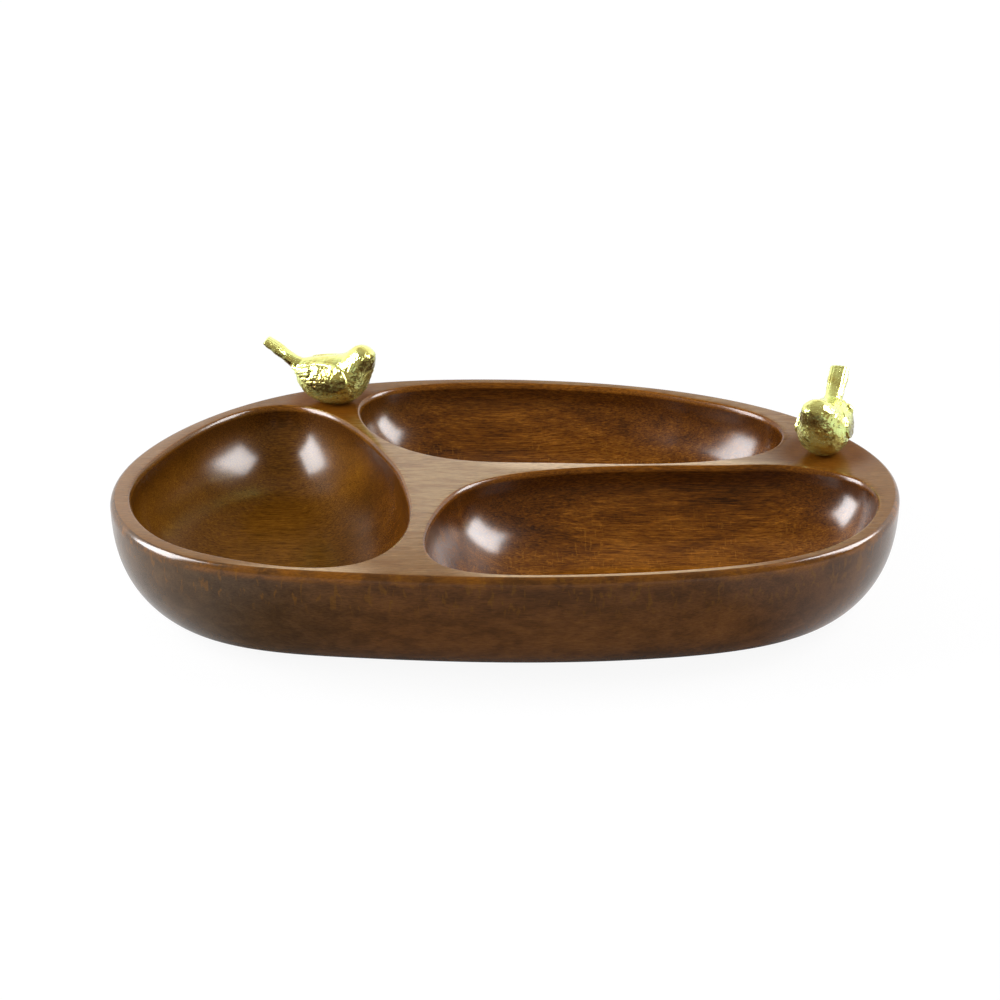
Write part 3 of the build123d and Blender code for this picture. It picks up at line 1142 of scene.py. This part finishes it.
FLOOR_SIZE = 12000
FLOOR_SHADER = {"Base Color": (0.92, 0.92, 0.92, 1), "Roughness": 0.9, "Specular IOR Level": 0.1}
WHITE = (1, 1, 1, 1)
FLOOR_WHITE = 1.02
FLOOR_WHITENED = (0.9, 1.0)
FLOOR_WHITE_STARTS = (0.2, 0.5)

# The floor's gleam in reflections, by distance from the dish and by place along X and Y, in metres
FRONT_GLEAM = 0.22
FRONT_GLEAM_ENDS = (-0.75, 0.1)
SIDE_GLEAM_STARTS = (0.12, 0.5)
NEAR_GLEAM = 0.25
NEAR_GLEAM_ENDS = (0.16, 0.45)
BESIDE_GLEAM = 0.9
BESIDE_GLEAM_STARTS = (0.09, 0.16)
BEHIND_GLEAM_STARTS = (-0.06, 0.04)


def floor_gleam(nodes, place, away):
    """How bright reflections show the floor: dim in front of the dish, where the studio is dark, and near
    it, and white at its sides and behind it."""
    x, y, _ = nodes.parts(place)
    beside = nodes.math("ABSOLUTE", x)
    far = nodes.largest(
        nodes.span(y, FRONT_GLEAM_ENDS, (FRONT_GLEAM, 1.0)), nodes.span(beside, SIDE_GLEAM_STARTS)
    )
    near = nodes.largest(
        nodes.span(away, NEAR_GLEAM_ENDS, (NEAR_GLEAM, 1.0)),
        nodes.span(beside, BESIDE_GLEAM_STARTS, (0.0, BESIDE_GLEAM)),
        nodes.span(y, BEHIND_GLEAM_STARTS),
    )
    return nodes.product(far, near)


def build_floor():
    """A plain white floor, which the camera sees clip to white away from the dish, with the dish's shadow."""
    mesh = bpy.data.meshes.new("floor")
    half = FLOOR_SIZE / 2 * MM
    corners = [(-half, -half, 0), (half, -half, 0), (half, half, 0), (-half, half, 0)]
    mesh.from_pydata(corners, [], [(0, 1, 2, 3)])
    floor = bpy.data.objects.new("floor", mesh)
    bpy.context.scene.collection.objects.link(floor)
    material, nodes, shader = new_material("white_floor")
    nodes.fill(shader, FLOOR_SHADER)
    rays = nodes.node("LightPath").outputs
    place = nodes.coordinates("Object")
    away = nodes.distance(place)
    white = nodes.node("Emission", {"Color": WHITE, "Strength": FLOOR_WHITE}).outputs[0]
    seen_white = nodes.product(nodes.span(away, FLOOR_WHITE_STARTS, FLOOR_WHITENED), rays["Is Camera Ray"])
    seen = nodes.shader_mix(seen_white, shader.outputs[0], white)
    gleam = floor_gleam(nodes, place, away)
    mirrored = nodes.node("Emission", {"Color": WHITE, "Strength": gleam}).outputs[0]
    final = nodes.shader_mix(rays["Is Glossy Ray"], seen, mirrored)
    nodes.connect(final, nodes.tree.nodes["Material Output"].inputs["Surface"])
    mesh.materials.append(material)


# Light that the studio's walls give to surfaces, and what reflections show of them
WORLD_LIGHT = 0.36
STUDIO_DARK = (0.27, 0.15, 0.06)
CEILING_STARTS = (0.5, 0.85)
WALLS_TO_CEILING = (1.15, 0.3)
BACK_STARTS = (-0.1, 0.5)
FRONT_TO_BACK = (0.02, 1.0)


def build_world():
    """White for the camera, a dim even light for surfaces, and in reflections a white back wall below a
    darker ceiling, with a dark brown studio in front."""
    world = bpy.data.worlds.new("studio")
    world.use_nodes = True
    bpy.context.scene.world = world
    world.node_tree.nodes.clear()
    nodes = Shading(world.node_tree)
    rays = nodes.node("LightPath").outputs
    _, toward_back, up = nodes.parts(nodes.coordinates("Generated"))
    low = nodes.span(up, CEILING_STARTS, WALLS_TO_CEILING)
    white_share = nodes.product(low, nodes.span(toward_back, BACK_STARTS, FRONT_TO_BACK))
    mirror = nodes.mix(1.0, STUDIO_DARK, white_share, "ADD")
    plain = nodes.node("Background", {"Color": WHITE, "Strength": WORLD_LIGHT}).outputs[0]
    reflected = nodes.node("Background", {"Color": mirror, "Strength": 1.0}).outputs[0]
    seen = nodes.node("Background", {"Color": WHITE, "Strength": 1.0}).outputs[0]
    shine = nodes.shader_mix(rays["Is Glossy Ray"], plain, reflected)
    final = nodes.shader_mix(rays["Is Camera Ray"], shine, seen)
    nodes.connect(final, nodes.node("OutputWorld").inputs["Surface"])


# Softboxes: name, place, width, height, and power on surfaces and in reflections, in watts
LIGHTS = [
    ("softbox_left", (-773, -77, 410), 520, 640, 7.8, 21.0),
    ("softbox_right", (733, 57, 534), 420, 600, 5.2, 13.5),
]
LIGHT_TARGET = (0, 0, 30)
LIGHT_COLOUR = (0.97, 0.98, 1.0)
SHINE_FORWARD = 20


def add_softbox(name, place, width, height, power, forward=0):
    """A rectangular lamp that faces the dish, set forward from its place."""
    light = bpy.data.lights.new(name, "AREA")
    light.shape = "RECTANGLE"
    light.size = width * MM
    light.size_y = height * MM
    light.energy = power
    light.color = LIGHT_COLOUR
    lamp = bpy.data.objects.new(name, light)
    ahead = (Vector(LIGHT_TARGET) - Vector(place)).normalized()
    lamp.location = (Vector(place) + ahead * forward) * MM
    lamp.rotation_euler = ahead.to_track_quat("-Z", "Y").to_euler()
    bpy.context.scene.collection.objects.link(lamp)
    return lamp


def build_lights():
    """Two softboxes above the dish's ends. Each is a lamp that lights surfaces, and a brighter one that only
    shows in reflections."""
    for name, place, width, height, power, shine in LIGHTS:
        add_softbox(name, place, width, height, power).visible_glossy = False
        bright = add_softbox(name + "_shine", place, width, height, shine, SHINE_FORWARD)
        bright.visible_diffuse = False


def build_camera():
    """The photograph's view: straight from the front, a little above the rim."""
    data = bpy.data.cameras.new("camera")
    data.lens = CAMERA_LENS
    camera = bpy.data.objects.new("camera", data)
    rise = math.radians(CAMERA_ELEVATION)
    back = Vector((0, -math.cos(rise), math.sin(rise))) * CAMERA_DISTANCE
    camera.location = (Vector(CAMERA_AIM) + back) * MM
    camera.rotation_euler = (math.radians(90 - CAMERA_ELEVATION), 0, 0)
    bpy.context.scene.collection.objects.link(camera)
    bpy.context.scene.camera = camera


build_camera()
build_world()
build_lights()
build_floor()
build_tray(wood_material())
build_birds(gold_material())
steel = steel_material()
for name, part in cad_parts.items():
    if name.endswith("_stud"):
        part.data.materials.clear()
        part.data.materials.append(steel)

bpy.context.scene.view_settings.view_transform = "Standard"
